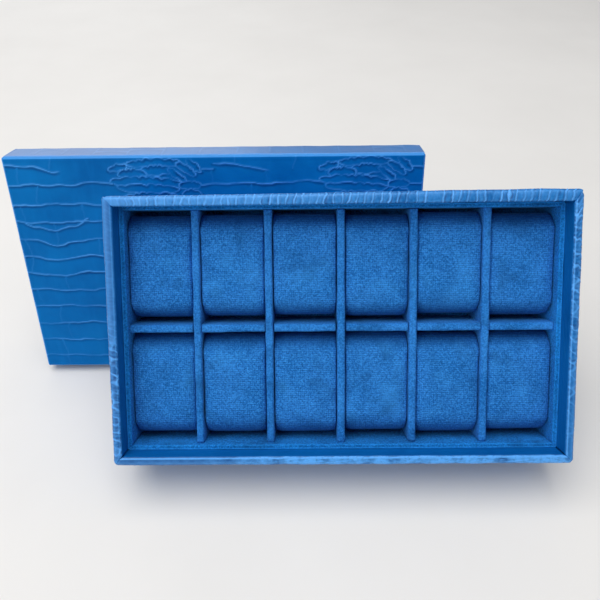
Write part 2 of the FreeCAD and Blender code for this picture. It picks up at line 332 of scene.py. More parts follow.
def open_box(low, high, radius, step, thick):
    """A lid of sheet with rounded edges, open below: points, outward directions and faces."""
    middle = (low + high) / 2
    half = (high - low) / 2
    bend = radius * (1 - np.tan(np.linspace(0, math.pi / 4, 5)))
    rise = np.concatenate([spaced(low[2], high[2] - radius, 1.0), (high[2] - bend)[1:]])
    lines = [edge_lines(half[0], radius, step), edge_lines(half[1], radius, step), rise]
    square, faces, numbers = box_skin(lines, [BOX_TOP, *BOX_SIDES])
    reach = half[:2] - radius
    core = square.copy()
    core[:, :2] = np.clip(square[:, :2], -reach, reach)
    core[:, 2] = np.minimum(square[:, 2], high[2] - radius)
    points, away = rounded(square, core, radius)
    points[:, :2] += middle[:2]
    low_edge = numbers[:, :, 0]
    hem = np.concatenate([low_edge[:, 0], low_edge[-1, 1:], low_edge[-2::-1, -1], low_edge[0, -2:0:-1]])
    inner = points[hem].copy()
    inner[:, :2] = np.clip(inner[:, :2], low[:2] + thick, high[:2] - thick)
    inner_top = inner.copy()
    inner_top[:, 2] = high[2] - thick
    count = len(hem)
    ring = len(points) + np.arange(count)
    faces = faces.tolist()
    for lower, upper in ((hem, ring), (ring, ring + count)):
        faces += np.stack([lower, np.roll(lower, -1), np.roll(upper, -1), upper], 1).tolist()
    faces.append((ring + count).tolist())
    hidden = np.tile([0.0, 0.0, -1.0], (2 * count, 1))
    return np.concatenate([points, inner, inner_top]), np.concatenate([away, hidden]), faces


# Profiles that are swept along the four sides of a box


def side_run(side, low, high):
    """The length of one side of a flat box."""
    return (high - low)[0 if side in ("front", "back") else 1]


def side_thickness(side, low, high):
    """The thickness of the board or strip on one side of a flat box."""
    return (high - low)[1 if side in ("front", "back") else 0]


def side_place(side, low, high):
    """The turn about Z, and the middle of the outer edge, of one side of a flat box."""
    middle = (low + high) / 2
    quarter = {"front": 0, "back": 180, "left": -90, "right": 90}[side]
    spot = {
        "front": (middle[0], low[1]),
        "back": (middle[0], high[1]),
        "left": (low[0], middle[1]),
        "right": (high[0], middle[1]),
    }[side]
    turn = np.array(Matrix.Rotation(math.radians(quarter), 3, "Z"))
    return turn, np.array([spot[0], spot[1], 0.0])


def rounded_path(corners, radii, spacing):
    """A path through corners, each rounded by its radius, as points no further apart than the spacing."""
    corners = [np.array(corner, float) for corner in corners]
    path = [corners[0]]
    for before, corner, after, radius in zip(corners, corners[1:], corners[2:], radii):
        back = (before - corner) / np.linalg.norm(before - corner)
        ahead = (after - corner) / np.linalg.norm(after - corner)
        start = corner + back * radius
        centre = start + ahead * radius
        path.append(start)
        for angle in np.linspace(0, math.pi / 2, max(3, int(radius / 0.4) + 2))[1:]:
            path.append(centre - ahead * radius * math.cos(angle) - back * radius * math.sin(angle))
    path.append(corners[-1])
    dense = [path[0]]
    for start, end in zip(path, path[1:]):
        gap = np.linalg.norm(end - start)
        if gap < 1e-6:
            continue
        for share in np.linspace(0, 1, max(1, int(math.ceil(gap / spacing(start, end)))) + 1)[1:]:
            dense.append(start + (end - start) * share)
    return np.array(dense)


def path_directions(path):
    """Outward directions along a path whose outside is on its left."""
    ahead = np.gradient(path, axis=0)
    ahead /= np.linalg.norm(ahead, axis=1)[:, None]
    return np.stack([-ahead[:, 1], ahead[:, 0]], 1)


def path_lengths(path):
    """How far along a path each of its points is."""
    return np.concatenate([[0], np.cumsum(np.linalg.norm(np.diff(path, axis=0), axis=1))])


def run_shares(run, step):
    """Positions along a mitred side as shares from 0 to 1, with extra ones beside each mitre."""
    ends = np.array([0, 0.3, 0.7, 1.2, 1.8])
    middle = spaced(2.5, run - 2.5, step)
    return np.concatenate([ends, middle, run - ends[::-1]]) / run


def round_corner(x, inset, half_run, radius):
    """Moves points beside the box's outer corner on to a rounded one."""
    across = (np.abs(x) - (half_run - radius)) / radius
    out = (radius - inset) / radius
    beside = (across > 0) & (out > 0)
    length = np.where(beside, np.hypot(across, out), 1)
    scale = np.where(beside, np.maximum(across, out) / length, 1)
    x = np.where(beside, np.sign(x) * ((half_run - radius) + across * scale * radius), x)
    inset = np.where(beside, radius - out * scale * radius, inset)
    return x, inset


def mitre_shape(mitre_gap):
    """A fine seam at a mitre, with the leather slightly puffed beside it."""
    return 0.14 * hollow(mitre_gap - 2.0, 1.3) - 0.2 * hollow(mitre_gap, 0.4)


def swept_side(name, node, side, low, high, outer, inner, raise_by, step, corner, **cover):
    """One mitred side of a box: a profile of (inset, height) points swept along it.

    outer is the path that shows, and inner closes it behind. raise_by(x, along, mitre_gap) gives how far
    each of its points is raised, how far it moves out of the box and along its side, and its marks.
    """
    run = side_run(side, low, high)
    half_run = run / 2
    shares = run_shares(run, step)
    columns = len(shares)
    loop = np.concatenate([outer, inner])
    out = path_directions(outer)
    inset = np.repeat(loop[:, 0][:, None], columns, 1)
    height = np.repeat(loop[:, 1][:, None], columns, 1)
    x = (half_run - inset) * (2 * shares[None, :] - 1)
    count = len(outer)
    mitre_gap = (half_run - inset - np.abs(x))[:count]
    along = np.repeat(path_lengths(outer), columns)
    lift, spread, marks = raise_by(x[:count].ravel(), along, mitre_gap.ravel())
    lift = lift.reshape(count, columns)
    bulge, push = np.reshape(spread, (2, count, columns))
    x[:count] += push
    inset[:count] += lift * out[:, 0][:, None] - bulge
    height[:count] += lift * out[:, 1][:, None]
    hidden = np.zeros(len(inner) * columns)
    marks = {mark: np.concatenate([values, hidden]) for mark, values in marks.items()}
    x, inset = round_corner(x, inset, half_run, corner)
    flat = np.stack([x.ravel(), inset.ravel(), height.ravel()], 1)
    turn, spot = side_place(side, low, high)
    points = flat @ turn.T + spot
    numbers = np.arange(len(loop) * columns).reshape(len(loop), columns)
    following = np.roll(numbers, -1, axis=0)
    quads = np.stack([numbers[:, :-1], numbers[:, 1:], following[:, 1:], following[:, :-1]], -1)
    ends = [numbers[::-1, 0].tolist(), numbers[:, -1].tolist()]
    return make_mesh(name, node, points, quads.reshape(-1, 4).tolist() + ends, marks=marks, **cover)


# The embossed pattern: scales, as cells round rows of seeds


def side_scales(run, depth, width, row_height, seed, lean=0.0, centre=0.0, loose=0.5):
    """Seeds for a wrapped side: scales in columns that cross the rim, as (along the side, round it).

    The scales of a column are centred on a line round the side, give or take a loose share of their height.
    """
    draw = np.random.default_rng(seed)
    seeds = []
    owners = []
    x = -run / 2 - width
    number = 0
    first = centre - row_height * math.ceil(centre / row_height + 1)
    while x < run / 2 + width:
        x += width * draw.uniform(0.82, 1.18)
        slope = lean + draw.uniform(-0.04, 0.04)
        shift = draw.uniform(-loose, loose) * row_height
        for t in np.arange(first, depth + row_height, row_height):
            for share in np.arange(-0.42, 0.43, 0.14 if row_height > 12 else 0.28):
                along = t + shift + share * row_height
                seeds.append((x + slope * (along - centre) + draw.uniform(-0.12, 0.12), along))
                owners.append(number)
            number += 1
    return np.array(seeds), np.array(owners)


def neighbourhoods(points, spots, size, reach):
    """Batches of the points from left to right, each with the spots that may be near and their distances."""
    order = np.argsort(points[:, 0])
    for start in range(0, len(points), size):
        picked = order[start:start + size]
        part = points[picked]
        near = np.abs(spots[:, 0] - part[:, 0].mean()) < np.ptp(part[:, 0]) / 2 + reach
        away = np.hypot(*(part[:, None, axis] - spots[None, near, axis] for axis in (0, 1)))
        yield picked, near, away


def border_gap(points, seeds, owners, reach=30):
    """Half the distance between a point's own scale and the next, and the number of its own scale."""
    gap = np.empty(len(points))
    own = np.empty(len(points), int)
    for picked, near, away in neighbourhoods(points, seeds, 3000, reach):
        names = owners[near]
        own[picked] = names[away.argmin(1)]
        distance = away.min(1)
        away[names[None, :] == own[picked][:, None]] = np.inf
        gap[picked] = (away.min(1) - distance) / 2
    return gap, own


# Materials


def feed(tree, socket, value):
    """Gives a shader's socket a value, or joins it to another node's output."""
    if isinstance(value, bpy.types.NodeSocket):
        tree.links.new(value, socket)
    else:
        socket.default_value = value


def add_node(tree, kind, inputs=None, **settings):
    """A shader node with these settings and inputs."""
    node = tree.nodes.new(f"ShaderNode{kind}")
    set_all(node, **settings)
    for name, value in (inputs or {}).items():
        feed(tree, node.inputs[name], value)
    return node


def new_material(name, inputs):
    """An empty node material, and its Principled shader with these inputs, joined to its output."""
    material = bpy.data.materials.new(name)
    material.use_nodes = True
    tree = material.node_tree
    tree.nodes.clear()
    shader = add_node(tree, "BsdfPrincipled", inputs)
    add_node(tree, "OutputMaterial", {"Surface": shader.outputs["BSDF"]})
    return material, tree, shader


def object_place(tree):
    """The place of each point in the piece's own space."""
    return add_node(tree, "TexCoord").outputs["Object"]


def mark_of(tree, name):
    """A value stored on the mesh for each point."""
    return add_node(tree, "Attribute", attribute_name=name).outputs["Fac"]


def noise_of(tree, scale, detail=4.0, roughness=0.55, stretch=(1, 1, 1)):
    """A noise texture in object space; the scale is features per metre."""
    place = add_node(tree, "Mapping", {"Vector": object_place(tree), "Scale": stretch}).outputs["Vector"]
    inputs = {"Vector": place, "Scale": scale, "Detail": detail, "Roughness": roughness}
    return add_node(tree, "TexNoise", inputs).outputs["Fac"]


def ramp_of(tree, value, stops):
    """A colour ramp between two (position, colour) pairs."""
    ramp = add_node(tree, "ValToRGB", {"Fac": value})
    for element, (position, colour) in zip(ramp.color_ramp.elements, stops):
        set_all(element, position=position, color=(*colour, 1))
    return ramp.outputs["Color"]


def mixed(tree, first, second, share):
    """Two colours mixed: the first and the share are nodes' outputs, and the second may be one too."""
    mix = add_node(tree, "Mix", data_type="RGBA")
    sockets = {item.name: item for item in mix.inputs if item.enabled}
    second = second if isinstance(second, bpy.types.NodeSocket) else (*second, 1)
    for name, value in (("A", first), ("B", second), ("Factor", share)):
        feed(tree, sockets[name], value)
    return next(item for item in mix.outputs if item.enabled)


def ranged(tree, value, low, high, from_low=0.0, from_high=1.0):
    """A value carried from one range to another, and held inside it."""
    inputs = {"Value": value, "From Min": from_low, "From Max": from_high, "To Min": low, "To Max": high}
    return add_node(tree, "MapRange", inputs).outputs["Result"]


def washed(tree, colour, washes):
    """A colour with others over it: each is a colour, the value that places it, and the range of its share.

    The value's own range comes last, where it isn't 0 to 1.
    """
    for over, value, *span in washes:
        colour = mixed(tree, colour, over, ranged(tree, value, *span))
    return colour


def number_node(tree, operation, *values):
    """One step of arithmetic on values and other nodes' outputs."""
    return add_node(tree, "Math", dict(enumerate(values)), operation=operation).outputs[0]


def weave_of(tree, direction, period):
    """Fine wavering ribs whose lines lie across a direction; the period is in metres."""
    dot = add_node(tree, "VectorMath", {0: object_place(tree), 1: direction}, operation="DOT_PRODUCT")
    phase = number_node(tree, "MULTIPLY", dot.outputs["Value"], 2 * math.pi / period)
    wavering = number_node(tree, "MULTIPLY_ADD", noise_of(tree, 260, 2), RIB_WAVER, phase)
    return ranged(tree, number_node(tree, "SINE", wavering), 0, 1, -1, 1)


def finished(material, tree, shader, colour, layers=()):
    """The material, with its colour and its bumps, each (height output, strength, distance in metres)."""
    normal = {}
    for height, strength, distance in layers:
        bump = {"Height": height, "Strength": strength, "Distance": distance, **normal}
        normal = {"Normal": add_node(tree, "Bump", bump).outputs["Normal"]}
    for name, value in {"Base Color": colour, **normal}.items():
        feed(tree, shader.inputs[name], value)
    return material


def leather_material(name, specular, coat):
    """Cobalt leather: cloudy dyed colour with a painted highlight on each vein and painted shade in each
    hollow, fine pores and its own shine.
    """
    shine = {"Specular IOR Level": specular, "Coat Weight": coat, "Coat Roughness": 0.3}
    material, tree, shader = new_material(name, shine)
    cloud = noise_of(tree, 22, 5)
    fine = noise_of(tree, 560, 3, 0.65)
    dye_and_painted_light = washed(tree, ramp_of(tree, cloud, [(0.3, DYE_DARK), (0.7, DYE_LIGHT)]), [
        (DYE_STREAK, noise_of(tree, 150, 3, stretch=(1, 0.25, 0.25)), 0, 0.3, 0.5, 0.85),
        # Painted shade where the hollow mark is, and painted highlight where the vein mark is
        (PAINTED_SHADE_AND_FLECK, mark_of(tree, "hollow"), 0, 0.9),
        (PAINTED_HIGHLIGHT_AND_FLECK, mark_of(tree, "vein"), 0, 0.95),
    ])
    speckled = washed(tree, dye_and_painted_light, [
        (PAINTED_HIGHLIGHT_AND_FLECK, fine, 0, 0.75, 0.5, 0.68),
        (PAINTED_SHADE_AND_FLECK, fine, 0.75, 0, 0.32, 0.48),
    ])
    dye_and_painted_light = mixed(tree, dye_and_painted_light, speckled, mark_of(tree, "speckle"))
    feed(tree, shader.inputs["Roughness"], ranged(tree, cloud, 0.32, 0.44))
    pores = noise_of(tree, 1500, 3)
    wrinkles = noise_of(tree, 330, 4, 0.6)
    return finished(material, tree, shader, dye_and_painted_light, [(pores, 0.14, 0.0003), (wrinkles, 0.25, 0.0006)])


def suede_material(name, dark, light, fleck=0.7, ribbed=False):
    """Suede or velour: a matt pile with a sheen, brushed patches and a fine fuzz, ribbed if asked; painted
    highlight where the vein mark is and painted shade where the hollow mark is.
    """
    material, tree, shader = new_material(name, SUEDE_SHINE)
    pale_tips_and_highlight = tuple(min(1.0, 1.9 * channel + 0.015) for channel in light)
    dark_roots_and_shade = tuple(0.4 * channel for channel in dark)
    fuzz = noise_of(tree, 720, 3, 0.7)
    pile = washed(tree, ramp_of(tree, noise_of(tree, 34, 4, 0.6), [(0.32, dark), (0.62, light)]), [
        (pale_tips_and_highlight, fuzz, 0, fleck, 0.46, 0.72),
        (dark_roots_and_shade, fuzz, fleck, 0, 0.28, 0.5),
        (dark_roots_and_shade, noise_of(tree, 62, 3, 0.5), 0.5, 0, 0.27, 0.46),
        (pale_tips_and_highlight, noise_of(tree, 41, 2, 0.5), 0, 0.28, 0.55, 0.75),
    ])
    layers = [(fuzz, 0.7, 0.0009), (noise_of(tree, 300, 3, 0.65), 0.4, 0.001)]
    if ribbed:
        weave = weave_of(tree, tuple(TRAY_TURN @ [0, 1, 0]), 0.0016)
        wales = weave_of(tree, (1, 0, 0), 0.0015)
        pile = washed(tree, pile, [
            (dark_roots_and_shade, weave, 0.34, 0),
            (pale_tips_and_highlight, wales, 0, 0.14),
            (dark_roots_and_shade, noise_of(tree, 50, 2, 0.5), 0.2, 0, 0.3, 0.5),
        ])
        layers += [(weave, 0.45, 0.0006), (wales, 0.25, 0.0004)]
    # Painted highlight where the vein mark is, and painted shade where the hollow mark is
    pile = washed(tree, pile, [
        (pale_tips_and_highlight, mark_of(tree, "vein"), 0, 0.6),
        (dark_roots_and_shade, mark_of(tree, "hollow"), 0, 0.8),
    ])
    return finished(material, tree, shader, pile, layers)


def felt_material():
    """Dark blue felt: a matt mat of fibres."""
    material, tree, shader = new_material("base_felt", {"Roughness": 0.95, "Sheen Weight": 0.25})
    fibres = noise_of(tree, 700, 5, 0.75)
    colour = ramp_of(tree, fibres, [(0.3, (0.004, 0.03, 0.11)), (0.75, (0.02, 0.09, 0.27))])
    return finished(material, tree, shader, colour, [(fibres, 0.6, 0.0006)])


def board_material():
    """Pressed fibre board: tan, speckled with darker fibres."""
    material, tree, shader = new_material("wall_board", {"Roughness": 0.85})
    specks = noise_of(tree, 900, 5, 0.7)
    colour = ramp_of(tree, specks, [(0.35, (0.25, 0.16, 0.09)), (0.6, (0.46, 0.33, 0.2))])
    colour = washed(tree, colour, [((0.36, 0.25, 0.15), noise_of(tree, 30, 3), 0, 0.6)])
    return finished(material, tree, shader, colour, [(specks, 0.3, 0.0003)])


def foam_material():
    """Open-cell foam: cream, with small pores."""
    material, tree, shader = new_material("pillow_foam", {"Roughness": 0.95})
    cells = add_node(tree, "TexVoronoi", {"Vector": object_place(tree), "Scale": 900})
    pores = cells.outputs["Distance"]
    colour = ramp_of(tree, pores, [(0.1, (0.5, 0.46, 0.36)), (0.6, (0.85, 0.82, 0.72))])
    return finished(material, tree, shader, colour, [(pores, 0.5, 0.0005)])


def floor_material():
    """A pale matt table top with the faintest grain."""
    material, tree, shader = new_material("table_top", {"Roughness": 0.7, "Specular IOR Level": 0.15})
    grain = noise_of(tree, 6, 4)
    colour = ramp_of(tree, grain, [(0.3, (0.80, 0.79, 0.765)), (0.7, (0.83, 0.82, 0.795))])
    return finished(material, tree, shader, colour)


leather = leather_material("embossed_leather", 0.06, 0.0)
tray_hide = leather_material("tray_leather", 0.3, 0.05)
smooth_leather = leather_material("smooth_leather", 0.5, 0.35)
liner_suede = suede_material("liner_suede", (0.002, 0.112, 0.40), (0.008, 0.185, 0.58))
divider_suede = suede_material("divider_suede", (0.009, 0.135, 0.46), (0.026, 0.205, 0.63), fleck=0.55)
pillow_suede = suede_material("pillow_suede", (0.008, 0.139, 0.51), (0.025, 0.206, 0.68), fleck=0.85,
                              ribbed=True)
felt = felt_material()
board = board_material()
foam = foam_material()
LINER = dict(material=liner_suede, slot="liner_suede")
DIVIDER = dict(TRAY, material=divider_suede, slot="divider_suede")


# The tray's leather


# How each side's rim looks: its scales' width, height, lean, looseness and uneven edges; where its pattern
# fades in, from west to east; how strong its painted highlight lines, the painted shade beside its ridges,
# its relief and its domes (with painted shade round them) are; its inner lip, pale partly from wear and
# partly as a painted highlight; the painted shade over its top; its crinkles, with painted highlight on
# their crests and painted shade in their troughs, and their grain; and its speckle.
RIM_LOOKS = {
    "back": dict(
        width=5.6, row_height=26, lean=0.25, loose=0.3, bend=0.5, marked=(-170, -130), seed=3,
        line=1.0, groove_shade=1.35, relief=1.3, dome=0.1, lip=0.1, shade=0, crinkle=0.25, grain=(0.8, 0.9),
        speckle=0.2),
    "front": dict(
        width=6, row_height=2.2, lean=0, loose=0.5, bend=1.0, marked=(-110, -30), seed=4,
        line=0.85, groove_shade=0.9, relief=0.7, dome=0, lip=1.0, shade=1.3, crinkle=0.6, grain=(0.5, 1.6),
        speckle=0.3),
    "left": dict(
        width=6, row_height=9, lean=0.5, loose=0.5, bend=0.5, marked=(-30, 40), seed=5,
        line=0.8, groove_shade=0.8, relief=0.6, dome=0, lip=0.35, shade=0.35, crinkle=0.35, grain=(1.0, 0.6),
        speckle=0.2),
    "right": dict(
        width=8.5, row_height=12, lean=0.9, loose=0.5, bend=0.5, marked=(-110, 40), seed=6,
        line=0.8, groove_shade=0.9, relief=0.6, dome=0, lip=0.7, shade=0.3, crinkle=0.4, grain=(0.9, 0.9),
        speckle=0.25),
}

# How far each side's leather bulges out at the rim, and rolls in past it, at its low and its high end. The
# sides are in order round the rim, and each one's high end meets the next one's low end.
RIM_BULGES = {
    "front": ((0.9, 0.0), (0.9, 0.0)),
    "right": ((0.8, 0.0), (0.8, 0.0)),
    "back": ((2.4, 0.6), (0.0, 1.6)),
    "left": ((1.5, 0.0), (0.7, 0.0)),
}


def rim_spacing(top):
    """Profile spacing: fine near the rim, wider on the flat sides."""
    def spacing(start, end):
        near = max(start[1], end[1]) > top - RIM_OUTER_RADIUS
        return 0.5 if near else 1.1
    return spacing


def tray_profile(low, high):
    """The paths of a tray side's leather, as (inset, height), and how far in it starts under the base.

    The outer path goes under the base, up the outside, over the rim and down to the tuck.
    """
    top = high[2]
    wall_low, wall_high = flat_box("liner_left_wall", TRAY_TURN)
    rim = wall_low[0] - low[0]
    turn_in = flat_box("base_cover", TRAY_TURN)[0][0] - low[0] - 0.3
    tuck = wall_high[2] - TRAY_TUCK
    corners = [(turn_in, low[2]), (0, low[2]), (0, top), (rim, top), (rim, tuck)]
    outer = rounded_path(corners, [BASE_RADIUS, RIM_OUTER_RADIUS, RIM_INNER_RADIUS], rim_spacing(top))
    wall = rim - LEATHER
    base = low[2] + LEATHER
    under = top - LEATHER
    inner = np.array([(wall, tuck), (wall, under - 1), (wall - 1, under), (LEATHER + 1.6, under),
                      (LEATHER, under - 1.6), (LEATHER, base), (turn_in, base)], float)
    return outer, inner, turn_in


def spread_shares(along, edge, brink):
    """How much of the rim's outward bulge, and of its inward roll, there is along the profile."""
    outward = smoothstep(edge - 22, edge - 3, along) * smoothstep(brink - 1, edge, along)
    inward = smoothstep(edge + 0.5, brink - 0.5, along) * smoothstep(brink + 9, brink, along)
    return outward, inward


def rim_spread(side, half_run, x, outward, inward):
    """How far the rim's leather moves out of the box, and along its side to keep the mitres closed."""
    ring = list(RIM_BULGES)
    place = ring.index(side)
    weights = np.stack([outward, -inward])
    low, high = RIM_BULGES[side]
    share = smoothstep(-(half_run - 10), half_run - 10, x)
    bulge = (1 - share) * (low @ weights) + share * (high @ weights)
    before = RIM_BULGES[ring[place - 1]][1] @ weights
    after = RIM_BULGES[ring[(place + 1) % 4]][0] @ weights
    near_end = smoothstep(60, 10, half_run - np.abs(x))
    push = near_end * np.where(x < 0, -before, after)
    return bulge, push


def tray_gaps(flat, on_rim, look, rim_scales, wall_scales):
    """How far each point of a tray side is from the edge of its scale, and the number of that scale."""
    bend = np.stack([ripple(flat, 6, look["seed"]), ripple(flat, 5, look["seed"] + 1)], 1)
    rim_gap, own = border_gap(flat + look["bend"] * bend, *rim_scales)
    wall_gap = border_gap(flat + 1.2 * bend, *wall_scales, 60)[0]
    return np.where(on_rim > 0, rim_gap, 0.6 * wall_gap), own


def tray_lift(look, flat, gap, shown, on_rim):
    """How far a tray side's leather is raised: its ridges and grooves, its domes and its slow swells."""
    ridge = 0.3 * hollow(gap, 0.45) - 0.25 * hollow(gap - 0.8, 0.45)
    lift = look["relief"] * shown * ridge * (0.4 + 0.6 * on_rim)
    lift += look["dome"] * shown * on_rim * (0.3 - hollow(gap, 1.1))
    return lift + 0.12 * ripple(flat, 30, look["seed"] + 40) + 0.04 * ripple(flat, 5, 3)


def tray_wear(look, side, along, edge, brink, on_rim, east):
    """How much paler a tray side's leather is made at its rim's edges, partly by wear and partly as a
    painted highlight, and near the back left corner, as a painted highlight.
    """
    wear_and_highlight = 0.08 * on_rim + 0.3 * hollow(along - edge, 1.2)
    # A painted highlight over the back rim, strongest towards its left end
    wear_and_highlight += 0.35 * on_rim * smoothstep(60, -150, east) * (side == "back")
    # The inner lip's pale line: partly wear, partly painted highlight
    return wear_and_highlight + look["lip"] * hollow(along - brink + 0.5, 0.5)


def tray_marks(look, gap, shown, marked, on_rim, inside, crinkle, tone, wear_and_highlight):
    """How much vein, hollow and speckle a tray side's leather has: the vein is painted highlight over wear
    and random tone, the hollow painted shade with random tone.
    """
    rim_top = on_rim * (1 - inside)
    # Painted highlight on the ridge lines and crinkle crests, over wear and random tone
    pale = np.maximum(wear_and_highlight + tone + 0.3 * crinkle, 0) + look["line"] * shown * hollow(gap, 0.5)
    # Painted shade beside the ridges, in the crinkles' troughs, round the domes, over the rim's top and down
    # the inner step, with random tone
    dark = look["groove_shade"] * shown * hollow(gap - 0.8, 0.45) - np.minimum(0.6 * crinkle + tone, 0)
    dark += look["dome"] * shown * on_rim * hollow(gap, 1.1) + look["shade"] * rim_top + 0.42 * inside
    speckle = look["speckle"] * rim_top * (0.3 + 0.7 * marked)
    return {"vein": pale * (1 - inside), "hollow": dark, "speckle": speckle}


def tray_leather(side, low, high):
    """One side's leather: under the base, up the outside, over the rim and down to the tuck."""
    outer, inner, turn_in = tray_profile(low, high)
    look = RIM_LOOKS[side]
    seed = look["seed"]
    run = side_run(side, low, high)
    around = path_lengths(outer)
    on_top = around[outer[:, 1] > high[2] - 0.4]
    edge, brink = on_top[0], on_top[-1]
    rim_scales = side_scales(run, around[-1], look["width"], look["row_height"], seed, look["lean"],
                             (edge + brink) / 2, look["loose"])
    wall_scales = side_scales(run, around[-1], *WALL_SCALE, seed + 50)
    tones = np.random.default_rng(seed + 7).uniform(-1, 1, rim_scales[1].max() + 1)

    def raise_by(x, along, mitre_gap):
        flat = np.stack([x, along], 1)
        east = -x if side == "back" else x
        on_rim = smoothstep(edge - 4, edge - 1, along)
        inside = smoothstep(brink + 0.4, brink + 1.6, along)
        marked = smoothstep(*look["marked"], east)
        gap, own = tray_gaps(flat, on_rim, look, rim_scales, wall_scales)
        shown = (1 - on_rim * 0.85 * (1 - marked)) * (1 - 0.97 * inside)
        shown *= smoothstep(turn_in - 2, turn_in + 4, along) * (0.75 + 0.4 * ripple(flat, 13, seed + 9))
        crinkle = look["crinkle"] * on_rim * (1 - inside) * (0.25 + 0.75 * marked)
        crinkle *= ripple(flat * look["grain"], 2.6, seed + 20)
        tone = 0.14 * tones[own] * on_rim * marked
        wear_and_highlight = tray_wear(look, side, along, edge, brink, on_rim, east)
        lift = tray_lift(look, flat, gap, shown, on_rim) + 0.1 * crinkle + mitre_shape(mitre_gap) - 0.1
        spread = rim_spread(side, run / 2, x, *spread_shares(along, edge, brink))
        return lift, spread, tray_marks(look, gap, shown, marked, on_rim, inside, crinkle, tone, wear_and_highlight)

    return swept_side(f"{side}_leather_wrap", f"{side}_leather", side, low, high, outer, inner, raise_by,
                      max(RIM_STEP, run / RIM_COLUMNS), SOFT_CORNER, **TRAY, material=tray_hide,
                      slot="embossed_leather")


# The lid's leather


def lid_side_leather(side, low, high):
    """One side of the lid: smooth leather from the panel's seam down, under the edge and inside."""
    seed = 20 + SIDES.index(side)
    own_low, own_high = flat_box(f"lid_{side}_leather", LID_TURN)
    rim = side_thickness(side, own_low, own_high)
    seam = own_high[2] - 0.5
    tuck = low[2] + LID_TUCK
    corners = [(LEATHER + 0.2, seam), (0.15, seam), (0.15, low[2]), (rim, low[2]), (rim, tuck)]
    outer = rounded_path(corners, [0.6, 1.5, 1.2], lambda start, end: 1.0)
    wall = rim - LEATHER
    base = low[2] + LEATHER
    inner = np.array([(wall, tuck), (wall, base), (LEATHER + 0.2, base)], float)
    scales = side_scales(side_run(side, low, high), 50, *LID_SIDE_SCALE, seed)

    def raise_by(x, along, mitre_gap):
        flat = np.stack([x, along], 1)
        gap = border_gap(flat, *scales, 60)[0]
        shown = smoothstep(3, 7, along) * (1 - smoothstep(30, 34, along))
        lift = shown * (0.15 * vein(gap) - 0.2 * hollow(gap)) + 0.08 * ripple(flat, 30, 40 + seed)
        # Painted highlight along the strip's top edge by the seam and on its faint scales' raised lines, and
        # painted shade in their valleys
        edge = 0.5 * (1 - smoothstep(1.2, 3.2, along))
        marks = {"vein": 0.3 * shown * vein(gap) + edge, "hollow": 0.3 * shown * hollow(gap)}
        return lift + mitre_shape(mitre_gap) - 0.1, np.zeros((2, len(x))), marks

    return swept_side(f"lid_{side}_leather_wrap", f"lid_{side}_leather", side, low, high, outer, inner,
                      raise_by, 1.0, SHARP_CORNER, **LID, material=smooth_leather, slot="embossed_leather")


def belly_level(row, u):
    """The height of one long crease: level, with a dip deepest at row 7, and bends in the top two rows."""
    level = 12 + 16 * row + 3.6 * math.sin(math.pi * min(row, 9) / 9)
    dip = 6.0 * math.exp(-(((7 - row) / 2.2) ** 2)) * (row < 8) * np.exp(-(((u % PLATE - 31) / 15) ** 2))
    rise = 3.0 * (row == 10) * np.exp(-(((u % PLATE - 70) / 17) ** 2))
    drop = 4.0 * (row == 11) * smoothstep(20, 40, u % PLATE)
    wave = 0.7 * np.sin(2 * math.pi * u / 84 + row * 1.9) + 0.45 * np.sin(2 * math.pi * u / 25 + row * 4.1)
    return level - dip + rise - drop + wave


def belly_creases(width):
    """Points along the long creases, as (u, v, strength)."""
    creases = []
    u = np.arange(-2, width + 2, CREASE_STEP)
    for row in range(12):
        v = belly_level(row, u)
        strength = 0.76 + 0.28 * ripple(np.stack([u, v], 1), 45, 50 + row)
        strength *= 0.5 + 0.5 * smoothstep(10, 120, v)
        if row == 11:
            strength *= smoothstep(46, 40, u % PLATE) + smoothstep(150, 156, u % PLATE)
        creases.append(np.stack([u, v, strength], 1))
    return creases


def faint_creases(width):
    """Points along the faint upright wrinkles that run from one long crease to the next."""
    draw = np.random.default_rng(19)
    creases = []
    for row in range(-1, 12):
        at = draw.uniform(5, 40)
        while at < width:
            low = belly_level(row, at)
            v = np.arange(low, belly_level(row + 1, at), CREASE_STEP)
            u = at + draw.uniform(-0.12, 0.12) * (v - low) + 1.2 * np.sin((v - low) / 5 + at)
            creases.append(np.stack([u, v, np.full(len(v), draw.uniform(0.05, 0.15))], 1))
            at += draw.uniform(40, 100)
    return creases


def small_scale(left, right, up, down, bumps, blunt=0.5):
    """One small scale: the points of its outline, upper half first, and a test for the points it covers."""
    left = np.array(left, float)
    right = np.array(right, float)
    length = np.hypot(*(right - left))
    normal = np.array([left[1] - right[1], right[0] - left[0]]) / length

    def reach(share):
        body = np.clip(4 * share * (1 - share), 0, 1) ** blunt
        uneven = share + 0.35 / max(bumps, 1) * np.sin(2.6 * math.pi * share + left[0])
        bump = 1.3 * np.abs(np.sin(math.pi * bumps * uneven)) * np.sqrt(body) if bumps else 0
        return up * body + bump, down * body * (1 + 0.15 * np.sin(5 * math.pi * share + left[1]))

    def covers(points):
        away = points - left
        share = away @ (right - left) / length ** 2
        across = away @ normal
        top, bottom = reach(np.clip(share, 0, 1))
        return (share > 0) & (share < 1) & (across < top) & (across > -bottom)

    share = (1 - np.cos(np.linspace(0, math.pi, int(length / CREASE_STEP * 1.6)))) / 2
    top, bottom = reach(share)
    middle = left + share[:, None] * (right - left)
    outline = np.concatenate([middle + top[:, None] * normal, middle - bottom[:, None] * normal])
    return outline, covers


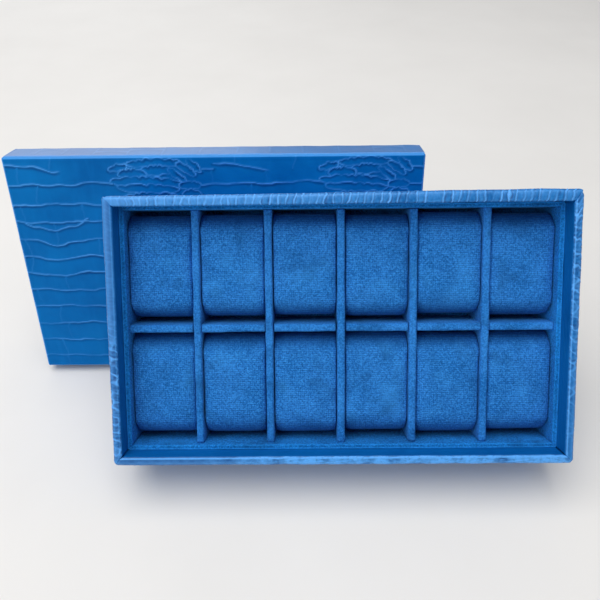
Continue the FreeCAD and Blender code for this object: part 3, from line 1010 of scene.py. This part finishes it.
def patch_creases(shift):
    """The outlines of one plate's patch of small scales, each half hidden by those in front of it."""
    creases = []
    covers = []
    for left, right, up, down, bumps in PATCH_SCALES:
        outline, cover = small_scale(left, right, up, down, bumps)
        strength = 0.7 + 0.35 * ripple(outline, 14, 71)
        strength[len(outline) // 2:] *= 0.7
        shown = np.ones(len(outline), bool)
        for front in covers:
            shown &= ~front(outline)
        covers.append(cover)
        crease = np.column_stack([outline + [shift, 0], np.clip(strength, 0.1, 1)])
        creases.append(crease[shown])
    return creases, covers


def lid_creases(width):
    """Every crease of the lid's hide, as points of (u, v, strength)."""
    long = np.concatenate(belly_creases(width))
    faint = np.concatenate(faint_creases(width))
    plates = []
    for shift in (0, PLATE):
        creases, covers = patch_creases(shift)
        plates += creases
        for cover in covers:
            long = long[~cover(long[:, :2] - [shift, 0])]
            faint = faint[~cover(faint[:, :2] - [shift, 0])]
    lens = small_scale((9, 139.5), (61, 144), 0, 7.2, 0, 1.0)[0]
    lens = lens[len(lens) // 2:]
    lens = np.column_stack([lens, np.full(len(lens), 0.75)])
    return np.concatenate([long, faint, lens] + plates)


def nearest_crease(points, creases, reach=7.0):
    """The distance from each point to the nearest crease, the crease's strength, and how far above it is."""
    gap = np.full(len(points), reach)
    strength = np.zeros(len(points))
    above = np.zeros(len(points))
    for picked, near, away in neighbourhoods(points, creases, 1200, reach):
        spots = creases[near]
        if len(spots):
            nearest = (away + 1.5 * (1 - spots[None, :, 2])).argmin(1)
            gap[picked] = away[np.arange(len(picked)), nearest]
            strength[picked] = spots[nearest, 2]
            above[picked] = spots[nearest, 1] - points[picked, 1]
    return gap, strength, above


def panel_relief(points, away, low, high):
    """How far the lid panel's points are raised, and their marks: painted highlight on each crease's crest,
    the rounded edge and the sides, and painted shade below each crease and in the fold.
    """
    face = away[:, 2] > 0.35
    flat = points[:, :2] - low[:2]
    at = flat[face]
    bent = at + np.stack([0.3 * ripple(at, 6, 21), 0.3 * ripple(at, 9, 22)], 1)
    gap, strength, above = nearest_crease(bent, lid_creases(high[0] - low[0]))
    strength *= smoothstep(0.35, 0.8, away[face][:, 2])
    below = smoothstep(-0.6, 1.2, above)
    in_patch = (np.abs(at[:, 0] % PLATE - 120) < 38) & (at[:, 1] > 155)
    crest = vein(gap * (1.2 + 0.2 * in_patch))
    lift = np.zeros(len(points))
    lift[face] = strength * (0.5 * crest - 0.4 * below * hollow(gap - 0.9, 1.1))
    lift[face] += 0.16 * ripple(at, 34, 7) + 0.05 * ripple(at, 9, 8) - 0.2
    edge = np.minimum(flat, (high - low)[:2] - flat).min(1)
    fold = hollow(points[:, 2] - low[2], 0.9) * ~face
    lift += np.where(face, 0.16 * hollow(edge - 2.4, 1.3), 0) - 0.6 * fold
    lift[away[:, 2] < 0] = 0
    # Painted highlight over the rounded edge and the sides, and on each crease's crest
    rolled = (away[:, 2] > 0.2) & (away[:, 2] < 0.95) | (np.abs(away[:, 2]) < 0.2)
    painted_highlight = 0.55 * rolled
    painted_highlight[face] += strength * crest
    # Painted shade in the fold at the foot of the sides, and below each crease
    painted_shade = fold.copy()
    painted_shade[face] += strength * below * hollow(gap - 1.5, 1.0)
    return lift, {"vein": painted_highlight * (1 - fold), "hollow": painted_shade}


def lid_panel():
    """The lid's embossed panel: creases in relief, and its edge rounded over and folded down the sides."""
    low, high = flat_box("lid_top_leather", LID_TURN)
    points, away, faces = open_box(low, high, PANEL_RADIUS, PANEL_STEP, LEATHER)
    lift, marks = panel_relief(points, away, low, high)
    return make_mesh("lid_panel_leather", "lid_top_leather", points + away * lift[:, None], faces, **LID,
                     marks=marks, material=leather, slot="embossed_leather")


# The suede


def suede_side(side, node, low, high, turn, **cover):
    """One mitred side of a suede-covered frame of boards, with soft rounded edges, a proud outer lip, and a
    painted highlight on the lip and along the inner top edge.
    """
    name = f"{node}_suede"
    node_low, node_high = flat_box(node, turn)
    thick = side_thickness(side, node_low, node_high)
    bottom = node_low[2]
    top = node_high[2]
    corners = [(0, bottom), (0, top), (thick, top), (thick, bottom)]
    radii = [0.4, min(1.1, thick * 0.4)]
    outer = rounded_path(corners, radii, lambda start, end: 0.4 if start[1] > top - 1.5 else 1.6)
    inner = np.array([(thick * 0.5, bottom)], float)
    lip_at = top - bottom + 0.1
    edge_at = lip_at + thick - 0.4

    def raise_by(x, along, mitre_gap):
        flat = np.stack([x, along], 1)
        wave = 0.1 * ripple(flat, 22, len(name)) + 0.05 * ripple(flat, 4, len(name) + 1)
        lip = hollow(along - lip_at, 0.5)
        lift = 0.35 * lip + wave - 0.12 + 0.5 * mitre_shape(mitre_gap)
        # The vein mark is a painted highlight on the outer lip and the inner top edge
        return lift, np.zeros((2, len(x))), {"vein": np.maximum(lip, 0.35 * hollow(along - edge_at, 0.7))}

    return swept_side(name, node, side, low, high, outer, inner, raise_by, 1.3, SHARP_CORNER,
                      turn=turn, **cover)


def suede_frame(pattern, turn, **cover):
    """The four boards of a suede-covered frame."""
    names = [pattern.format(side) for side in SIDES]
    low, high = union_box(names, turn)
    for side, node in zip(SIDES, names):
        suede_side(side, node, low, high, turn, **cover)


def suede_slab(name, node, radius, step, turn, wave=0.1, **cover):
    """A flat cloth-covered piece with rounded edges, slightly uneven."""
    points, away, faces = rounded_box(*flat_box(node, turn), radius, step)
    lift = wave * (ripple(points, 26, len(name)) - 1) * 0.7 + 0.4 * wave * ripple(points, 5, 3)
    points = points + away * np.minimum(lift, 0)[:, None]
    return make_mesh(name, node, points, faces, turn, **cover)


def notched(points, axis, centres, half, keep_below, level):
    """Moves a divider's points to the notch's level, between the walls of each notch."""
    for centre in centres:
        inside = np.abs(points[:, axis] - centre) < half
        held = np.minimum if keep_below else np.maximum
        points[inside, 2] = held(points[inside, 2], level)
    return points


def divider(node, axis, crossings, crossing_half, keep_below):
    """A suede-wrapped divider with a soft rounded top and a lap notch at each crossing."""
    low, high = flat_box(node, TRAY_TURN)
    past = np.zeros(3)
    past[axis] = DIVIDER_ROUND
    points, away, faces = rounded_box(low - past, high + past, DIVIDER_ROUND, (1.2, 1.2, 1.6))
    points[:, axis] = np.clip(points[:, axis], low[axis], high[axis])
    noise = 0.16 * ripple(points, 30, len(node) + ord(node[-1])) + 0.07 * ripple(points, 4.5, 9)
    points = points + away * np.minimum(noise - 0.12, 0.05)[:, None]
    points = notched(points, axis, crossings, crossing_half, keep_below, (low[2] + high[2]) / 2)
    return make_mesh(f"{node}_suede", node, points, faces, **DIVIDER)


# The pillows


def set_points(mesh, points):
    """Gives a mesh new points."""
    mesh.vertices.foreach_set("co", np.asarray(points, np.float32).ravel())
    mesh.update()


def apply_modifiers(piece):
    """Leaves a piece with its modifiers' result as its mesh."""
    graph = bpy.context.evaluated_depsgraph_get()
    done = bpy.data.meshes.new_from_object(piece.evaluated_get(graph))
    piece.modifiers.clear()
    piece.data = done


def applied(piece, kind, **settings):
    """Adds a modifier and applies it."""
    set_all(piece.modifiers.new(kind.lower(), kind), **settings)
    apply_modifiers(piece)


def simulate(piece, pressure):
    """Swells a closed mesh with Blender's cloth, and leaves it with the result applied."""
    cloth = piece.modifiers.new("cloth", "CLOTH")
    set_all(cloth.settings, uniform_pressure_force=pressure, **CLOTH)
    cloth.settings.effector_weights.gravity = 0
    cloth.collision_settings.use_collision = False
    set_all(cloth.point_cache, frame_start=1, frame_end=CLOTH_FRAMES)
    for at in range(1, CLOTH_FRAMES + 1):
        bpy.context.scene.frame_set(at)
    apply_modifiers(piece)
    bpy.context.scene.frame_set(1)


def swollen(piece, number):
    """Swells a pillow by cloth simulation, each of its points by no more than the cap."""
    start = mesh_points(piece.data)
    simulate(piece, CLOTH_PRESSURE + 0.5 * math.sin(number * 2.3))
    move = mesh_points(piece.data) - start
    length = np.linalg.norm(move, axis=1)[:, None]
    set_points(piece.data, start + move * np.minimum(1, PILLOW_SWELL * MM / np.maximum(length, 1e-9)))


def pressed(points, half, row, number):
    """Holds a pillow inside its cell, and sews the seams round its two end panels."""
    points = points * (half + PILLOW_PRESS) / np.abs(points).max(0)
    x, y, z = points.T.copy()
    seam = hollow(np.abs(x) - (half[0] - SEAM_INSET), 0.8)
    radial = np.sqrt((y / half[1]) ** 2 + (z / half[2]) ** 2) + 1e-6
    y = y * (1 - 0.008 * seam / radial)
    z = z * (1 - 0.012 * seam / radial) + 0.3 * ripple(points, 30, 100 + number) * (z > 0)
    x = x * (1 + 0.2 * smoothstep(0.5, 1.0, y / half[1]))
    limit = half - PILLOW_SLACK
    points = np.clip(np.stack([x, y, z], 1), -limit, limit)
    points[:, 1] += LOWER_END_GAP[row] * smoothstep(0.2, 1.0, -points[:, 1] / half[1])
    return points


def pillow(row, column, number):
    """A stuffed pillow: its core swollen by cloth simulation, then pressed by its cell, with painted shade
    towards its two ends; and its foam.
    """
    name = f"{row}_pillow_{column}"
    low, high = flat_box(f"{name}_cover", TRAY_TURN)
    middle = (low + high) / 2
    half = (high - low) / 2
    work = new_object("work", nodes[f"{name}_core"].data.copy())
    set_points(work.data, points_of(f"{name}_core") @ TRAY_TURN - middle * MM)
    applied(work, "REMESH", mode="VOXEL", voxel_size=PILLOW_VOXEL * MM)
    applied(work, "SMOOTH", factor=0.6, iterations=4)
    block = work.data.copy()
    set_points(block, (mesh_points(block) * FOAM_SHARE + middle * MM) @ TRAY_TURN.T)
    make_piece(f"{name}_foam", f"{name}_core", block, name, foam, "pillow_foam")
    swollen(work, number)
    applied(work, "SUBSURF", levels=1, render_levels=1)
    points = pressed(mesh_points(work.data) / MM, half, row, number)
    # Painted shade towards the pillow's two ends, stored as its hollow mark
    painted_end_shade = 0.85 * smoothstep(0.62, 1.0, np.abs(points[:, 1]) / half[1])
    points[:, 1] += 0.8 * math.sin(number * 2.6 + 0.7)
    cover = work.data.copy()
    bpy.data.objects.remove(work)
    set_points(cover, (points + middle) @ TRAY_TURN.T * MM)
    add_marks(cover, {"hollow": painted_end_shade})
    piece = make_piece(f"{name}_stuffed", f"{name}_cover", cover, name, pillow_suede, "pillow_suede")
    return piece


# The stage


def make_floor():
    """The pale surface under the object."""
    bpy.ops.mesh.primitive_plane_add(size=FLOOR_SIZE, location=(0, 0, 0))
    floor = bpy.context.object
    floor.name = "table"
    floor.data.materials.append(floor_material())


def aimed(thing, place, ahead, roll=0.0):
    """Puts a light or the camera in its place, looking along a direction and turned round it."""
    turn = ahead.to_track_quat("-Z", "Y") @ Quaternion((0, 0, 1), -roll)
    set_all(thing, location=place, rotation_mode="QUATERNION", rotation_quaternion=turn)


def area_light(name, place, target, size, power, colour):
    """A soft square light aimed at a point."""
    data = bpy.data.lights.new(name, "AREA")
    set_all(data, size=size, energy=power, color=colour)
    aimed(new_object(name, data), Vector(place), Vector(target) - Vector(place))


def make_lights():
    """The soft lights round the object, and the pale room's own light."""
    for name, light in LIGHTS.items():
        area_light(name, **light)
    world = bpy.data.worlds.new("room")
    bpy.context.scene.world = world
    world.use_nodes = True
    background = world.node_tree.nodes["Background"]
    background.inputs["Color"].default_value = ROOM_COLOUR
    background.inputs["Strength"].default_value = ROOM_STRENGTH


def make_camera():
    """The camera, in front of the tray and above it, looking down at about forty degrees."""
    tray_low, tray_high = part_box("base_cover")
    leather_points = points_of("front_leather")
    foot_x = (tray_low.x + tray_high.x) / 2
    foot_y = leather_points[leather_points[:, 2] < 1e-4, 1].min()
    pitch, yaw, roll = (math.radians(angle) for angle in CAMERA_ANGLES)
    ahead = Vector((math.sin(yaw) * math.cos(pitch), math.cos(yaw) * math.cos(pitch), math.sin(pitch)))
    data = bpy.data.cameras.new("camera")
    set_all(data, sensor_width=36, lens=CAMERA_LENS)
    camera = new_object("camera", data)
    aimed(camera, Vector((foot_x, foot_y, 0)) + Vector(CAMERA_FROM_FOOT), ahead, roll)
    bpy.context.scene.camera = camera


# Putting it together


def finish_boards():
    """The hidden boards get eased edges and their own material, a little inside the leather."""
    slots = {entry["node"]: entry["material_slot"] for entry in frame["record"]["subparts"]}
    for name in list(nodes):
        if slots[name] == "wall_board":
            place = LID if name.startswith("lid") else TRAY
            low, high = flat_box(name, place["turn"])
            points, _, faces = rounded_box(low + BOARD_GAP, high - BOARD_GAP, BOARD_EASE, 12)
            make_mesh(f"{name}_eased", name, points, faces, **place, material=board, slot="wall_board")


def build_tray():
    """The tray's leather, liner, dividers and base cover."""
    low, high = union_box([f"{side}_leather" for side in SIDES], TRAY_TURN)
    for side in SIDES:
        tray_leather(side, low, high)
    suede_frame("liner_{}_wall", **TRAY, **LINER)
    suede_slab("liner_floor_suede", "liner_floor", 0.7, 3.0, **TRAY, **LINER)
    suede_slab("base_cover_felt", "base_cover", 0.45, 2.5, **TRAY, wave=0.05, material=felt,
               slot="base_felt")
    columns = [f"column_divider_{number}" for number in range(1, COLUMNS)]
    spans = [flat_box(name, TRAY_TURN) for name in columns]
    centres = [(span_low[0] + span_high[0]) / 2 for span_low, span_high in spans]
    row_low, row_high = flat_box("row_divider", TRAY_TURN)
    half = (row_high[1] - row_low[1]) / 2
    divider("row_divider", 0, centres, half, keep_below=True)
    for name in columns:
        divider(name, 1, [(row_low[1] + row_high[1]) / 2], half, keep_below=False)


def build_lid():
    """The lid's leather panel and sides, its lining and its collar."""
    low, high = union_box([f"lid_{side}_leather" for side in SIDES], LID_TURN)
    for side in SIDES:
        lid_side_leather(side, low, high)
    lid_panel()
    suede_slab("lid_lining_suede", "lid_lining", 0.7, 2.2, **LID, wave=0.12, **LINER)
    suede_frame("lid_collar_{}_board", **LID, **LINER)


def build_pillows():
    """The twelve pillows, each simulated for itself."""
    number = 0
    for row in ("front", "back"):
        for column in range(1, COLUMNS + 1):
            pillow(row, column, number)
            number += 1


bpy.context.scene.view_settings.view_transform = "Standard"
make_camera()
make_floor()
make_lights()
finish_boards()
build_tray()
build_lid()
build_pillows()
